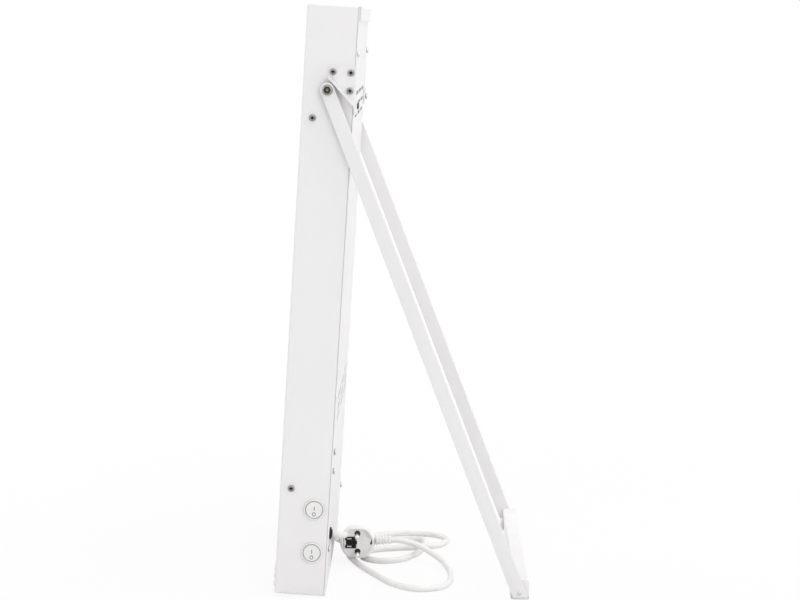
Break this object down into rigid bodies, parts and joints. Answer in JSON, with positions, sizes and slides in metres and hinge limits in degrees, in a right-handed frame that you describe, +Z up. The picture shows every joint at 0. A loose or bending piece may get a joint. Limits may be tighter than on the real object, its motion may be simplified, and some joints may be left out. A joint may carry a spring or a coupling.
{
  "type": "infrared heater",
  "caption": "Slim white upright infrared panel heater that leans back on a hinged stand of two flat legs and a crossbar, with round side rocker switches and a mains lead.",
  "frame": {"origin": "middle of the heater's footprint on the floor, without the free cord and its plug", "axes": "+Z up, -Y the way the radiating front faces, +X the side with the switches"},
  "size_m": [0.3224, 0.2534, 0.5807],
  "materials": {
    "white_enamel": "white powder coat, satin",
    "black_rubber": "dark grey rubber",
    "bright_steel": "zinc-plated",
    "dark_steel": "dark plated",
    "brass_metal": "yellow-passivated, dull",
    "black_plastic": "moulded, matt",
    "pale_plastic": "moulded, pale warm grey",
    "white_plastic": "moulded, white, smooth",
    "mat_film": "resin laminate",
    "mineral_fibre": "pressed fibre board",
    "cream_plastic": "moulded",
    "cord_sheath": "flexible sheath, satin"
  },
  "bodies": {
    "case": {"front_shell": "white_enamel", "back_panel": "white_enamel", "power_cord": "cord_sheath", "plug_body": "pale_plastic", "switch_body_upper": "pale_plastic", "switch_body_lower": "pale_plastic", "terminal_block": "cream_plastic", "cable_gland": "black_plastic", "inner_tray": "bright_steel", "bracket_right": "white_enamel", "bracket_left": "white_enamel", "pivot_bolt_right": "brass_metal", "pivot_bolt_left": "brass_metal", "rivet_nut_right": "bright_steel", "rivet_nut_left": "bright_steel", "plug_earth_socket": "black_plastic", "thermal_cutout": "black_plastic", "heating_mat_lower": "mat_film", "heating_mat_upper": "mat_film", "inner_washer_right": "black_plastic", "outer_washer_right": "dark_steel", "inner_washer_left": "black_plastic", "outer_washer_left": "dark_steel", "case_foot_front_right": "black_rubber", "case_foot_rear_right": "black_rubber", "case_foot_front_left": "black_rubber", "case_foot_rear_left": "black_rubber", "side_screw_low_right": "bright_steel", "side_screw_high_right": "bright_steel", "back_screw_low_right": "dark_steel", "back_screw_high_right": "dark_steel", "side_screw_low_left": "bright_steel", "side_screw_high_left": "bright_steel", "back_screw_low_left": "dark_steel", "back_screw_high_left": "dark_steel", "bracket_screw_1_right": "dark_steel", "bracket_screw_2_right": "dark_steel", "bracket_screw_3_right": "dark_steel", "bracket_screw_back_right": "dark_steel", "bracket_screw_1_left": "dark_steel", "bracket_screw_2_left": "dark_steel", "bracket_screw_3_left": "dark_steel", "bracket_screw_back_left": "dark_steel", "terminal_screw_upper": "dark_steel", "terminal_screw_lower": "dark_steel", "plug_pin_1": "bright_steel", "plug_pin_2": "bright_steel", "earth_stud": "brass_metal", "earth_nut": "brass_metal", "plug_earth_strip": "dark_steel", "insulation_board": "mineral_fibre"},
    "stand": {"stand_leg_right": "white_enamel", "stand_leg_left": "white_enamel", "stand_crossbar": "white_enamel", "foot_pad_right": "black_rubber", "foot_pad_left": "black_rubber", "crossbar_rivet_right": "bright_steel", "crossbar_rivet_left": "bright_steel"},
    "rocker_upper": {"switch_rocker_upper": "white_plastic"},
    "rocker_lower": {"switch_rocker_lower": "white_plastic"}
  },
  "joints": [
    {"name": "stand_fold", "type": "hinge", "parent": "case", "child": "stand", "pos_m": [0, -0.06959, 0.49877], "axis": [1, 0, 0], "range_deg": [-24.28, 20.5]},
    {"name": "rocker_upper_tip", "type": "hinge", "parent": "case", "child": "rocker_upper", "pos_m": [0.1497, -0.08458, 0.0885], "axis": [0, -0.998, 0.0628], "range_deg": [0, 14]},
    {"name": "rocker_lower_tip", "type": "hinge", "parent": "case", "child": "rocker_lower", "pos_m": [0.1497, -0.08731, 0.04519], "axis": [0, -0.998, 0.0628], "range_deg": [0, 14]}
  ]
}
